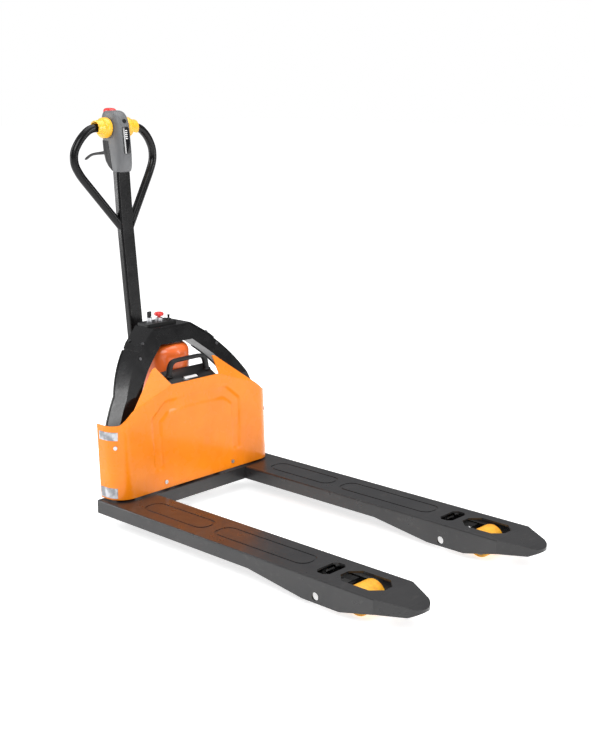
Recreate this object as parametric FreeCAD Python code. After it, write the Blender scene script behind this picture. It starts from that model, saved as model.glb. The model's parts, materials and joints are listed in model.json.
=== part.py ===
import FreeCAD, Part
import math
import os

# Electric pallet truck. Millimetres, +Z up, floor at z = 0, +X towards the fork tips.
# Inside this script x = 0 is the load face; every shape is shifted by ORIGIN_X when it is saved,
# so that the part's own origin is under the middle of its footprint.

V = FreeCAD.Vector
SIDES = {"right": -1, "left": 1}

# --- driving dimensions -------------------------------------------------------------------------
OVERALL_W = 685.0
FORK_W = 155.0
FORK_TOP = 85.0
FORK_LENGTH = 1071.0
FORK_PLATE = 5.0
LEVER_TIP_X = -534.0
ORIGIN_X = (FORK_LENGTH + LEVER_TIP_X) / 2
FORK_Y = (OVERALL_W - FORK_W) / 2
HALF_FORK = FORK_W / 2
HEEL_X = -92.0
SKIRT_Z = 45.0
SKIRT_LOW_Z = 18.0

LIFT = 110.0
WHEEL_X = 882.0
WHEEL_R = 40.0
WHEEL_W = 70.0
ARM_PIVOT_X = 730.0
ARM_Z = WHEEL_R
CRANK_R = 28.0
ARM_LENGTH = WHEEL_X - ARM_PIVOT_X
ROCKER_X = -22.0
ROCKER_Z = 62.0
PIN_R = 4.0
ARM_PIN_R = 9.0
AXLE_R = 10.0

STEER_X = -165.0
DRIVE_R = 105.0
DRIVE_W = 70.0
PUMP_R = 75.0
PUMP_TOP = 505.0
PUMP_LOW = 322.0
PISTON_R = 20.0
TILT_X = -262.0
TILT_Z = 300.0
TILT_PIN_R = 8.0

CASE_LOW = 90.0
CASE_TOP = 407.0
CASE_FRONT = -10.0
CASE_LEAN = 13.0
CASE_BACK = -95.0
CASE_HALF = 325.0
CASE_R = 57.0
CASE_WALL = 4.0
CASE_RIM = 315.0

BEAM_LOW = 512.0
BEAM_TOP = 557.0
ARCH_WALL = 6.0
COVER_T = 4.0

TUBE_X = 26.0
TUBE_Y = 52.0
LOOP_R = 13.0
GRIP_X = -376.0
GRIP_Z = 1160.0
HEAD_HALF = 29.0
RUN = 0.05
GAP = 0.3


# --- shape helpers ------------------------------------------------------------------------------
def point(plane, u, v, w):
    if plane == "XY":
        return V(u, v, w)
    if plane == "XZ":
        return V(u, w, v)
    return V(w, u, v)


def outline(plane, start, steps, w=0.0):
    """Closed wire: a step is (u, v) for a line, or ((u, v), (u, v)) for an arc's middle and end."""
    edges = []
    here = start
    for step in list(steps) + [start]:
        curved = isinstance(step[0], tuple)
        end = step[1] if curved else step
        a = point(plane, here[0], here[1], w)
        b = point(plane, end[0], end[1], w)
        if curved:
            middle = point(plane, step[0][0], step[0][1], w)
            edges.append(Part.Arc(a, middle, b).toShape())
        elif a.distanceToPoint(b) > 1e-6:
            edges.append(Part.LineSegment(a, b).toShape())
        here = end
    return Part.Wire(edges)


def prism(plane, start, steps, low, high):
    face = Part.Face(outline(plane, start, steps, low))
    reach = high - low
    direction = {"XY": V(0, 0, reach), "XZ": V(0, reach, 0), "YZ": V(reach, 0, 0)}[plane]
    return face.extrude(direction)


def box(x0, x1, y0, y1, z0, z1):
    return Part.makeBox(x1 - x0, y1 - y0, z1 - z0, V(x0, y0, z0))


def rod_y(radius, x, z, y0, y1):
    return Part.makeCylinder(radius, y1 - y0, V(x, y0, z), V(0, 1, 0))


def rod_z(radius, x, y, z0, z1):
    return Part.makeCylinder(radius, z1 - z0, V(x, y, z0))


def ring_y(outer, inner, x, z, y0, y1):
    return rod_y(outer, x, z, y0, y1).cut(rod_y(inner, x, z, y0 - 1, y1 + 1))


def ring_z(outer, inner, x, y, z0, z1):
    return rod_z(outer, x, y, z0, z1).cut(rod_z(inner, x, y, z0 - 1, z1 + 1))


def fuse(shapes):
    return shapes[0].multiFuse(shapes[1:]).removeSplitter()


def flip(shape):
    return shape.mirror(V(0, 0, 0), V(0, 1, 0))


def soften(shape, radius, wanted):
    """Rounds the edges that the test function picks by their middle point."""
    edges = [edge for edge in shape.Edges if wanted(edge.BoundBox.Center, edge)]
    return shape.makeFillet(radius, edges)


def slot_xz(x0, x1, z0, z1, y0, y1):
    """A slot with round ends, upright or lying, cut along Y."""
    radius = min(x1 - x0, z1 - z0) / 2
    if x1 - x0 > z1 - z0:
        ends = [(x0 + radius, z0 + radius), (x1 - radius, z0 + radius)]
        middle = box(ends[0][0], ends[1][0], y0, y1, z0, z1)
    else:
        ends = [(x0 + radius, z0 + radius), (x0 + radius, z1 - radius)]
        middle = box(x0, x1, y0, y1, ends[0][1], ends[1][1])
    return fuse([middle] + [rod_y(radius, x, z, y0, y1) for x, z in ends])


def chamfered(x0, x1, half, cut, y, z0, z1):
    """A rectangle with cut corners, centred on y, standing from z0 to z1."""
    corners = [(x0 + cut, y - half), (x1 - cut, y - half), (x1, y - half + cut), (x1, y + half - cut),
               (x1 - cut, y + half), (x0 + cut, y + half), (x0, y + half - cut), (x0, y - half + cut)]
    return prism("XY", corners[0], corners[1:], z0, z1)


def save(name, *shapes):
    solids = [solid for shape in shapes for solid in shape.Solids]
    body = solids[0] if len(solids) == 1 else Part.makeCompound(solids)
    moved = body.copy()
    moved.translate(V(-ORIGIN_X, 0, 0))
    moved.exportStep("parts/" + name + ".step")
    print(name, len(solids), round(body.Volume / 1000, 1), body.isValid())


# --- forks and base frame -----------------------------------------------------------------------
def fork_plan(inset, x0, z0, z1):
    half = HALF_FORK - inset
    tip = FORK_LENGTH - inset
    nose = half * 0.58
    bend = FORK_LENGTH - 103 - inset * 0.4
    shoulder = FORK_LENGTH - 31 - inset * 0.6
    steps = [(bend, -half), (shoulder, -nose), ((tip, 0), (shoulder, nose)), (bend, half), (x0, half)]
    return prism("XY", (x0, -half), steps, z0, z1)


def pressed_groove(x0, x1):
    """A shallow groove around a long panel with round ends in the fork's top."""
    depth = 1.6
    half = 36.0
    width = 5.0
    parts = []
    for r in (half, half - width):
        r_end = min(r, 30.0)
        steps = [(x1 - r_end, -r), ((x1 - 0.29 * r_end, -r + 0.29 * r_end), (x1, -r + r_end)),
                 (x1, r - r_end), ((x1 - 0.29 * r_end, r - 0.29 * r_end), (x1 - r_end, r)),
                 (x0 + r_end, r), ((x0 + 0.29 * r_end, r - 0.29 * r_end), (x0, r - r_end)),
                 (x0, -r + r_end), ((x0 + 0.29 * r_end, -r + 0.29 * r_end), (x0 + r_end, -r))]
        parts.append(prism("XY", (x0 + r_end, -r), steps, FORK_TOP - depth, FORK_TOP + 1))
        x0 += width
        x1 -= width
    return parts[0].cut(parts[1])


def fork():
    side = [(968, FORK_TOP), (1046, 74), (FORK_LENGTH, 66), (FORK_LENGTH, 58), (1046, 48), (970, SKIRT_Z),
            (860, SKIRT_LOW_Z), (735, SKIRT_LOW_Z), (540, SKIRT_Z), (0, SKIRT_Z)]
    outer = fork_plan(0, 0, 0, FORK_TOP).common(prism("XZ", (0, FORK_TOP), side, -90, 90))
    outer = soften(outer, 4.0, lambda c, e: c.z > 84 and abs(c.y) > 70)
    roof = [(964, FORK_TOP - FORK_PLATE), (1050, 66), (1050, -1), (-1, -1)]
    hollow = fork_plan(FORK_PLATE, -1, -1, FORK_TOP).common(
        prism("XZ", (-1, FORK_TOP - FORK_PLATE), roof, -90, 90))
    shape = outer.cut(hollow)
    shape = shape.cut(chamfered(745, 789, 43, 12, 0, 70, 90))
    shape = shape.cut(chamfered(811, 955, 43, 28, 0, 70, 90))
    for x0, x1 in ((57, 316), (352, 703)):
        shape = shape.cut(pressed_groove(x0, x1))
    shape = shape.cut(rod_y(11, 780, 36, -90, 90))
    bosses = [ring_y(18, ARM_PIN_R + RUN, ARM_PIVOT_X, ARM_Z, y, y + 11) for y in (-73, 62)]
    return fuse([shape] + bosses)


def base_frame():
    inner = FORK_Y - HALF_FORK
    parts = [box(-8, 0, -inner, inner, SKIRT_Z, FORK_TOP), box(-45, 0, -inner, inner, 77, FORK_TOP)]
    for side in (-1, 1):
        top = box(HEEL_X, 0, inner, inner + FORK_W, 77, FORK_TOP)
        outer = box(HEEL_X, 0, inner + FORK_W - 8, inner + FORK_W, SKIRT_Z, FORK_TOP)
        web = box(HEEL_X, 0, inner, inner + 8, SKIRT_Z, FORK_TOP)
        back = box(HEEL_X, HEEL_X + 8, inner, inner + FORK_W, SKIRT_Z, FORK_TOP)
        heel = fuse([top, outer, web, back])
        parts.append(heel if side > 0 else flip(heel))
    frame = fuse(parts)
    frame = frame.cut(rod_y(AXLE_R + 2, ROCKER_X, ROCKER_Z, -inner - 20, inner + 20))
    return soften(frame, 4.0, lambda c, e: abs(c.z - FORK_TOP) < 0.1 and abs(c.y) > 340)


def rocker_bushes():
    inner = FORK_Y - HALF_FORK
    bush = ring_y(AXLE_R + 2, AXLE_R + RUN, ROCKER_X, ROCKER_Z, inner, inner + 8)
    return [bush, flip(bush)]


# --- arch ---------------------------------------------------------------------------------------
def arch_face():
    """Front view of the arch: two curved legs and a level beam."""
    half = [(296, 85), (296, 240), ((291, 283), (279, 322)), ((217, 435), (138, 515)), (76, BEAM_TOP)]
    inner = [(106, 479), ((178, 407), (235, 302)), ((242, 272), (246, 240)), (246, 85)]
    steps = half[1:]
    steps += [(-76, BEAM_TOP), (-138, 515), ((-217, 435), (-279, 322)), ((-291, 283), (-296, 240)), (-296, 85)]
    steps += [(-246, 85), (-246, 240), ((-242, 272), (-235, 302)), ((-178, 407), (-106, 479))]
    steps += [(-65, BEAM_LOW), (65, BEAM_LOW)] + inner
    return Part.Face(outline("YZ", half[0], steps, -300))


def arch_slab(front_in, back_x):
    """Side view of the arch: upright legs that lean back towards the beam."""
    front = [(-35, 85), (-52, 383), (-109, 515), (-130, 561), (-130, 600)]
    back = [(-212, 600), (-212, 561), (-185, 515), (-110, 383), (-93, 85)]
    if back_x is not None:
        back = [(back_x, 600), (back_x, 85)]
    corners = [(x - front_in, z) for x, z in front] + back
    return prism("XZ", corners[0], corners[1:], -400, 400)


def arch_frame():
    face = arch_face()
    body = face.extrude(V(300, 0, 0)).common(arch_slab(0, None))
    trough = face.makeOffset2D(-ARCH_WALL).extrude(V(300, 0, 0)).common(arch_slab(ARCH_WALL, -290))
    return body.cut(trough)


def back_strips():
    """Closing strips behind the legs, a little wider than the channel."""
    thick = 5.0
    wide = arch_face().makeOffset2D(2).extrude(V(300, 0, 0))
    back = [(-185, 515), (-110, 383), (-93, 85)]
    corners = back + [(x - thick, z) for x, z in reversed(back)]
    slab = prism("XZ", corners[0], corners[1:], -400, 400)
    strip = wide.common(slab).common(box(-300, 0, 112, 400, 92, 500))
    return [strip, flip(strip)]


def arch_cover():
    low = [(76, BEAM_TOP), (138, 515), (152, 502)]
    high = [(154.8, 505), (140.4, 518.6), (77.2, BEAM_TOP + COVER_T)]
    corners = low + high + [(-y, z) for y, z in reversed(high)] + [(-y, z) for y, z in reversed(low)]
    plate = prism("YZ", corners[0], corners[1:], -300, 0)
    return plate.common(arch_slab(-2, None)).cut(arch_frame())


def arch_bolts():
    """Socket screws that hold the cover's ends, and one on each leg below it."""
    bolts = []
    normal = V(0, 0.56, 0.83)
    for x in (-115, -176):
        bolts.append(Part.makeCylinder(5, 4, V(x, 131, 523.4), normal))
    bolts.append(Part.makeCylinder(5, 4, V(-98.5, 158, 484), V(0.92, 0, 0.39)))
    plates = arch_frame().fuse(arch_cover())
    bolts = [bolt.cut(plates) for bolt in bolts]
    return bolts + [flip(bolt) for bolt in bolts]


# --- casing -------------------------------------------------------------------------------------
def case_front(z):
    return CASE_FRONT - CASE_LEAN * (z - CASE_LOW) / (CASE_TOP - CASE_LOW)


def case_block(inset):
    half = CASE_HALF - inset
    radius = CASE_R - inset
    front = CASE_FRONT - inset
    bulge = radius * (1 - math.sqrt(0.5))
    steps = [(front - radius, -half), ((front - bulge, -half + bulge), (front, -half + radius)),
             (front, half - radius), ((front - bulge, half - bulge), (front - radius, half)), (-200, half)]
    height = CASE_TOP - CASE_LOW
    face = Part.Face(outline("XY", (-200, -half), steps, CASE_LOW))
    return face.extrude(V(-CASE_LEAN, 0, height))


def wing():
    """The raised triangle that leans back from the front wall to the arch."""
    b = V(case_front(407), 100, 407)
    c = V(case_front(352), 255, 352)
    peak_in = V(-75, 119, 455)
    peak_out = V(-75, 131, 452)
    face = Part.Face(Part.makePolygon([b, c, peak_out, b]))
    other = Part.Face(Part.makePolygon([b, peak_out, peak_in, b]))
    normal = (c - b).cross(peak_out - b)
    normal.normalize()
    if normal.z > 0:
        normal = normal * -1
    return fuse([face.extrude(normal * CASE_WALL), other.extrude(normal * CASE_WALL)])


def body_cover():
    top = [(CASE_HALF, CASE_LOW), (CASE_HALF, CASE_RIM), (300, 318), (255, 352), (100, CASE_TOP)]
    corners = top + [(-y, z) for y, z in reversed(top)]
    front_view = prism("YZ", corners[0], corners[1:], -200, 10)
    shell = case_block(0).cut(case_block(CASE_WALL))
    shell = shell.common(front_view).common(box(CASE_BACK, 0, -400, 400, 0, 500))
    shape = fuse([shell, wing(), flip(wing())])
    for y in (-141, 141):
        shape = shape.cut(Part.makeCylinder(3.2, 20, V(-25, y, 111), V(1, 0, 0)))
    for side in (-1, 1):
        shape = shape.cut(side_screw(3.2, 20, -10, side))
    return shape


def side_screw(radius, length, start, side):
    """A cylinder along the casing's rounded corner normal, from start beyond the surface."""
    angle = math.radians(40)
    z = 250
    out = V(math.sin(angle), math.cos(angle) * side, 0)
    centre = V(case_front(z) - CASE_R, (CASE_HALF - CASE_R) * side, z)
    return Part.makeCylinder(radius, length, centre + out * (CASE_R + start), out)


def cover_screws():
    screws = []
    for y in (-141, 141):
        face = case_front(111)
        head = Part.makeCylinder(6, 2.4, V(face + 0.3, y, 111), V(1, 0, 0))
        socket = Part.makeCylinder(3, 2, V(face + 1.2, y, 111), V(1, 0, 0))
        shank = Part.makeCylinder(3, 12, V(face - 11, y, 111), V(1, 0, 0))
        screws.append(fuse([head, shank]).cut(socket))
    for side in (-1, 1):
        head = side_screw(6, 2.4, 0.4, side).cut(side_screw(3, 4, 1.4, side))
        screws.append(fuse([head, side_screw(3, 12, -11, side)]))
    return screws


def reflector_strips():
    """Two thin strips on each side that wrap forward around the casing's corner."""
    strips = []
    for z0, z1 in ((95, 126), (272, 297)):
        skin = case_block(-1.2).cut(case_block(-0.05))
        strip = skin.common(box(CASE_BACK + 2, -32, 290, 400, z0, z1))
        strips += [strip, flip(strip)]
    return strips


# --- battery and electrics ----------------------------------------------------------------------
def battery_case():
    corners = [(-86, 200), (-29, 200), (-29, 396), (-86, 426)]
    body = prism("XZ", corners[0], corners[1:], -88, 88)
    body = soften(body, 5.0, lambda c, e: c.z < 230 and abs(c.y) > 80)
    return body


def battery_lid():
    slope = [(-86.5, 426.5), (-28.5, 396.5), (-28.5, 403), (-86.5, 434)]
    return prism("XZ", slope[0], slope[1:], -95, 95)


def battery_handle():
    low = 417.0
    front = [(-78, low), (78, low), (72, 462), ((66, 475), (52, 480)), (-52, 480), ((-66, 475), (-72, 462))]
    bow = prism("YZ", front[0], front[1:], -67, -53)
    gap = [(-46, 436), (46, 436), (44, 462), ((41, 467), (36, 468)), (-36, 468), ((-41, 467), (-44, 462))]
    bow = bow.cut(prism("YZ", gap[0], gap[1:], -90, -30))
    return bow.cut(battery_lid()).cut(battery_case())


def battery_gauge():
    slope = [(-46, 405.8), (-37, 401.2), (-37, 409.4), (-46, 414)]
    return prism("XZ", slope[0], slope[1:], -30, 22).cut(battery_lid()).cut(battery_case())


def battery_tray():
    tray = box(-86, -24, -96, 96, 192, 196)
    sides = [box(-48, -24, y, y + 4, FORK_TOP, 194) for y in (-96, 92)]
    guides = [box(-80, -34, y, y + 4, 194, 240) for y in (-96, 92)]
    return fuse([tray] + sides + guides)


# --- lift, steering and drive -------------------------------------------------------------------
def pump_body():
    drum = rod_z(PUMP_R, STEER_X, 0, PUMP_LOW, PUMP_TOP)
    drum = soften(drum, 30.0, lambda c, e: abs(c.z - PUMP_TOP) < 0.1)
    return drum.cut(rod_z(PISTON_R + RUN, STEER_X, 0, PUMP_LOW + 6, PUMP_TOP + 1))


def pump_base():
    trunk = rod_z(70, STEER_X, 0, 251, PUMP_LOW)
    neck = rod_z(40, STEER_X, 0, 227, 252)
    ears = []
    for y in (-44, 32):
        profile = [(TILT_X - 12, TILT_Z - 18), ((TILT_X - 22, TILT_Z), (TILT_X - 12, TILT_Z + 18)),
                   (STEER_X, PUMP_LOW), (STEER_X, 258)]
        ears.append(prism("XZ", profile[0], profile[1:], y, y + 12))
    room = rod_y(26, TILT_X, TILT_Z, -32, 32)
    shape = fuse([trunk, neck] + ears).cut(room)
    return shape.cut(rod_y(TILT_PIN_R, TILT_X, TILT_Z, -50, 50))


def tilt_pin():
    pin = rod_y(TILT_PIN_R, TILT_X, TILT_Z, -47, 47)
    heads = [rod_y(12, TILT_X, TILT_Z, y, y + 4) for y in (-51, 47)]
    return fuse([pin] + heads)


def filler_plug():
    return Part.makeCylinder(9, 10, V(STEER_X, PUMP_R - 3, 350), V(0, 1, 0)).cut(pump_body())


def wheel_bracket():
    top = soften(box(STEER_X - 50, STEER_X + 50, -48, 48, 213, 227), 12.0,
                 lambda c, e: abs(c.z - 220) < 0.1)
    plates = []
    for y in (-48, 38):
        low = DRIVE_R - 20
        profile = [(STEER_X - 46, 215), (STEER_X - 24, low + 20), ((STEER_X, low - 4), (STEER_X + 24, low + 20)),
                   (STEER_X + 46, 215)]
        plates.append(prism("XZ", profile[0], profile[1:], y, y + 10))
    bracket = fuse([top] + plates)
    return bracket.cut(rod_y(12.5, STEER_X, DRIVE_R, -60, 60))


def drive_axle():
    axle = rod_y(12.5, STEER_X, DRIVE_R, -50, 50)
    nuts = []
    for y in (-57, 48):
        nut = Part.makeCylinder(18, 9, V(STEER_X, y, DRIVE_R), V(0, 1, 0))
        nuts.append(nut)
    return fuse([axle] + nuts)


def drive_tyre():
    half = DRIVE_W / 2
    tyre = ring_y(DRIVE_R, 84, STEER_X, DRIVE_R, -half, half)
    return soften(tyre, 7.0, lambda c, e: e.BoundBox.ZLength > 2 * DRIVE_R - 2 and abs(c.y) > half - 1)


def drive_hub():
    hub = rod_y(84, STEER_X, DRIVE_R, -33, 33)
    for y in (-34, 27):
        hub = hub.cut(ring_y(72, 34, STEER_X, DRIVE_R, y, y + 7))
    for i in range(8):
        angle = math.radians(45 * i)
        x = STEER_X + 62 * math.cos(angle)
        z = DRIVE_R + 62 * math.sin(angle)
        bolts = rod_y(4, x, z, -30, 30)
        hub = hub.fuse(bolts)
    return hub.cut(rod_y(12.5 + RUN, STEER_X, DRIVE_R, -60, 60)).removeSplitter()


def yoke_foot():
    plate = box(-191, -109, 118, 130, 42, 80)
    return plate.cut(slot_xz(-183, -117, 50, 68.8, 110, 140))


def yoke():
    ring = ring_z(62, 40 + GAP, STEER_X, 0, 238, 249.5)
    parts = [ring]
    for side in (-1, 1):
        arm = box(STEER_X - 20, STEER_X + 20, 50, 130, 238, 249.5)
        leg = box(STEER_X - 20, STEER_X + 20, 118, 130, 78, 249.5)
        piece = fuse([arm.cut(rod_z(55, STEER_X, 0, 230, 260)), leg, yoke_foot()])
        parts.append(piece if side > 0 else flip(piece))
    return fuse(parts)


# --- linkage ------------------------------------------------------------------------------------
def rocker():
    shaft = rod_y(AXLE_R, ROCKER_X, ROCKER_Z, -FORK_Y - 24, FORK_Y + 24)
    parts = [shaft]
    for side in (-1, 1):
        tail = ROCKER_X - ARM_LENGTH
        arm = fuse([box(tail, ROCKER_X, 106, 116, ROCKER_Z - 11, ROCKER_Z + 11),
                    rod_y(11, tail, ROCKER_Z, 106, 116), rod_y(13, ROCKER_X, ROCKER_Z, 106, 116),
                    rod_y(6, tail, ROCKER_Z, 106, 131)])
        cheeks = []
        for y in (FORK_Y - 18, FORK_Y + 8):
            web = box(ROCKER_X - 8, ROCKER_X + 8, y, y + 10, ROCKER_Z - CRANK_R, ROCKER_Z)
            cheeks += [web, rod_y(13, ROCKER_X, ROCKER_Z, y, y + 10),
                       rod_y(8, ROCKER_X, ROCKER_Z - CRANK_R, y, y + 10)]
        pin = rod_y(PIN_R, ROCKER_X, ROCKER_Z - CRANK_R, FORK_Y - 18, FORK_Y + 18)
        piece = fuse([arm] + cheeks + [pin])
        parts += [piece if side > 0 else flip(piece)]
    return fuse(parts)


def push_rod():
    """Flat bar from the rocker to the load arm, with an upright slot at each end."""
    rear_z = ROCKER_Z - CRANK_R
    front_z = ARM_Z + CRANK_R
    fall = CRANK_R * (1 - math.cos(math.asin(LIFT / ARM_LENGTH)))
    play = 1.2
    rear = box(ROCKER_X - 14, ROCKER_X + 18, -6, 6, rear_z - 9.5, rear_z + 16.5)
    front = box(ARM_PIVOT_X - 18, ARM_PIVOT_X + 14, -6, 6, front_z - 16.5, front_z + 9.5)
    bar_ends = [(ROCKER_X + 10, rear_z - 6), (ARM_PIVOT_X - 10, front_z - 12),
                (ARM_PIVOT_X - 10, front_z + 4), (ROCKER_X + 10, rear_z + 10)]
    bar = prism("XZ", bar_ends[0], bar_ends[1:], -6, 6)
    wide = PIN_R + play
    rear_slot = slot_xz(ROCKER_X - wide, ROCKER_X + wide, rear_z - wide, rear_z + fall + wide, -9, 9)
    front_slot = slot_xz(ARM_PIVOT_X - wide, ARM_PIVOT_X + wide, front_z - fall - wide, front_z + wide, -9, 9)
    return fuse([rear, front, bar]).cut(rear_slot).cut(front_slot)


def load_arm():
    parts = []
    for y in (-50, 42):
        parts.append(box(ARM_PIVOT_X, WHEEL_X - 26, y, y + 8, 48, 64))
        neck = [(WHEEL_X - 40, 48), (WHEEL_X - 14, 26), (WHEEL_X + 6, 40), (WHEEL_X - 10, 58), (WHEEL_X - 40, 64)]
        parts.append(prism("XZ", neck[0], neck[1:], y, y + 8))
        parts.append(rod_y(16, WHEEL_X, ARM_Z, y, y + 8))
        parts.append(rod_y(17, ARM_PIVOT_X, ARM_Z, y, y + 8))
        parts.append(box(ARM_PIVOT_X - 10, ARM_PIVOT_X + 12, y, y + 8, ARM_Z, ARM_Z + CRANK_R))
        parts.append(rod_y(9, ARM_PIVOT_X, ARM_Z + CRANK_R, y, y + 8))
    parts.append(rod_y(PIN_R, ARM_PIVOT_X, ARM_Z + CRANK_R, -50, 50))
    parts.append(rod_y(7, WHEEL_X - 56, 56, -46, 46))
    for y in (-50, 20):
        parts.append(rod_y(16, ARM_PIVOT_X, ARM_Z, y, y + 30))
    shape = fuse(parts)
    shape = shape.cut(rod_y(ARM_PIN_R + RUN, ARM_PIVOT_X, ARM_Z, -60, 60))
    return shape.cut(rod_y(AXLE_R, WHEEL_X, ARM_Z, -60, 60))


def load_axle():
    axle = rod_y(AXLE_R, WHEEL_X, ARM_Z, -54, 54)
    collars = [ring_y(15, AXLE_R, WHEEL_X, ARM_Z, y, y + 6) for y in (-41.8, 35.8)]
    heads = [rod_y(13, WHEEL_X, ARM_Z, y, y + 4) for y in (-54, 50)]
    return fuse([axle] + collars + heads)


def load_tyre():
    tyre = ring_y(WHEEL_R, 31, WHEEL_X, ARM_Z, -WHEEL_W / 2, WHEEL_W / 2)
    return soften(tyre, 4.0, lambda c, e: e.BoundBox.ZLength > 2 * WHEEL_R - 2 and abs(c.y) > 30)


def load_core():
    core = ring_y(31, 20, WHEEL_X, ARM_Z, -WHEEL_W / 2, WHEEL_W / 2)
    rib = ring_y(21, 14, WHEEL_X, ARM_Z, -20, 20)
    return fuse([core, rib])


def load_bearings():
    half = WHEEL_W / 2
    return [ring_y(20, AXLE_R + RUN, WHEEL_X, ARM_Z, y, y + 14) for y in (-half, half - 14)]


# --- tiller -------------------------------------------------------------------------------------
def tiller_x(z):
    bend_x, bend_z = -341.0, 868.0
    if z < bend_z:
        return bend_x + (bend_z - z) * 0.0988
    return bend_x - (z - bend_z) * 0.0641


def tiller_tube():
    def section(grow):
        z0, z1, z2 = 326, 868, 1030
        half = TUBE_X / 2 + grow
        ahead = [(tiller_x(z) + half, z) for z in (z0, z1, z2)]
        behind = [(tiller_x(z) - half, z) for z in (z2, z1, z0)]
        corners = ahead + behind
        reach = TUBE_Y / 2 + grow
        return prism("XZ", corners[0], corners[1:], -reach, reach)
    solid = soften(section(0), 6.0, lambda c, e: abs(abs(c.y) - TUBE_Y / 2) < 0.1 and e.Length > 100)
    return solid.cut(section(-3))


def tiller_knuckle():
    eye = rod_y(23, TILT_X, TILT_Z, -31.5, 31.5)
    half = TUBE_X / 2 + 6
    socket = [(TILT_X - 12, TILT_Z - 19), (tiller_x(326) - half, 318), (tiller_x(364) - half, 364),
              (tiller_x(364) + half, 364), (TILT_X + 16, 316)]
    block = prism("XZ", socket[0], socket[1:], -31.5, 31.5)
    half = TUBE_X / 2
    tube_room = prism("XZ", (tiller_x(326) - half, 326),
                      [(tiller_x(370) - half, 370), (tiller_x(370) + half, 370), (tiller_x(326) + half, 326)],
                      -TUBE_Y / 2, TUBE_Y / 2)
    shape = fuse([eye, block]).cut(tube_room)
    return shape.cut(rod_y(TILT_PIN_R + RUN, TILT_X, TILT_Z, -40, 40))


def rounded_path(points):
    """Straight runs joined by tangent arcs through a list of corner points."""
    edges = []
    here = points[0]
    for before, corner, after in zip(points, points[1:], points[2:]):
        into = corner - before
        away = after - corner
        turn = into.getAngle(away)
        reach = 0.45 * min(into.Length, away.Length)
        radius = reach / math.tan(turn / 2)
        start = corner - into.normalize() * reach
        end = corner + away.normalize() * reach
        centre_way = (away - into).normalize()
        middle = corner + centre_way * (math.hypot(radius, reach) - radius)
        edges.append(Part.LineSegment(here, start).toShape())
        edges.append(Part.Arc(start, middle, end).toShape())
        here = end
    edges.append(Part.LineSegment(here, points[-1]).toShape())
    return Part.Wire(edges)


def loop_handle():
    """One bent tube: from a weld on the tiller, round and through the head, to the other weld."""
    half = [V(-338.5, 18, 853), V(-379, 140, 1017), V(-383, 158, 1052), V(-383, 157, 1090),
            V(-379, 135, 1128), V(GRIP_X, 98, GRIP_Z)]
    corners = half + [V(p.x, -p.y, p.z) for p in reversed(half)]
    path = rounded_path(corners)
    skins = []
    for radius in (LOOP_R, LOOP_R - 2.5):
        start = Part.Wire([Part.makeCircle(radius, corners[0], corners[1] - corners[0])])
        skins.append(Part.Solid(path.makePipeShell([start], True, False)))
    return skins[0].cut(skins[1]).cut(box(-420, -260, -TUBE_Y / 2, TUBE_Y / 2, 800, 910))


def head_block():
    low = 1022.0
    half = HEAD_HALF
    front = [(-328, low), (-318, 1038), (-316, 1078), (-323, 1160), ((-334, 1199), (-370, 1214)), (-372, 1196), (-420, 1196)]
    back = [(-423, 1160), (-415, 1100), (-413, 1076), (-404, 1054), (-366, low)]
    corners = front + back
    return prism("XZ", corners[0], corners[1:], -half, half)


def rear_zone():
    corners = [(-354, 1000), (-374, 1108), (-391, 1128), (-440, 1128), (-440, 1000)]
    return prism("XZ", corners[0], corners[1:], -50, 50)


def panel_zone(low, high, half, depth, proud):
    def surface(z):
        return -316 - (z - 1078) * 7 / 82
    corners = [(surface(low) - depth, low), (surface(low) + proud, low), (surface(high) + proud, high),
               (surface(high) - depth, high)]
    return prism("XZ", corners[0], corners[1:], -half, half)


def horn_place(radius, start, length):
    way = V(0.93, 0, 0.37)
    return Part.makeCylinder(radius, length, V(-328.5, 0, 1181) + way * start, way)


def head_bores():
    """Room in the head for the tube, the throttle sleeve, the buttons, the lever and the tiller."""
    sleeve = rod_y(17 + GAP, GRIP_X, GRIP_Z, -40, 40)
    panel = panel_zone(1080, 1162, 12.5, 2.5, 5)
    horn = horn_place(7, -7, 20)
    belly = box(-416, -378, -19, 19, 1183, 1197)
    lever = box(-440, -398, -7, 7, 1066, 1098)
    neck_z0, neck_z1 = 1000, 1031
    half = TUBE_X / 2
    neck = [(tiller_x(neck_z0) - half, neck_z0), (tiller_x(neck_z1) - half, neck_z1),
            (tiller_x(neck_z1) + half, neck_z1), (tiller_x(neck_z0) + half, neck_z0)]
    return [sleeve, panel, horn, belly, lever, prism("XZ", neck[0], neck[1:], -TUBE_Y / 2, TUBE_Y / 2)]


def head_shell():
    shape = head_block().cut(rear_zone())
    for room in head_bores():
        shape = shape.cut(room)
    return shape


def head_rear_cover():
    shape = head_block().common(rear_zone())
    for room in head_bores():
        shape = shape.cut(room)
    pin_hole = rod_y(3, -408, 1083, -20, 20)
    return shape.cut(pin_hole)


def belly_button():
    corners = [(-413, 1190), (-381, 1190), (-381, 1202), (-373, 1202), (-375, 1214), ((-393, 1221), (-412, 1216)),
               (-419, 1202), (-413, 1202)]
    cap = prism("XZ", corners[0], corners[1:], -16.5, 16.5)
    return soften(cap, 2.5, lambda c, e: c.z > 1212 and abs(c.y) > 16)


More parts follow.
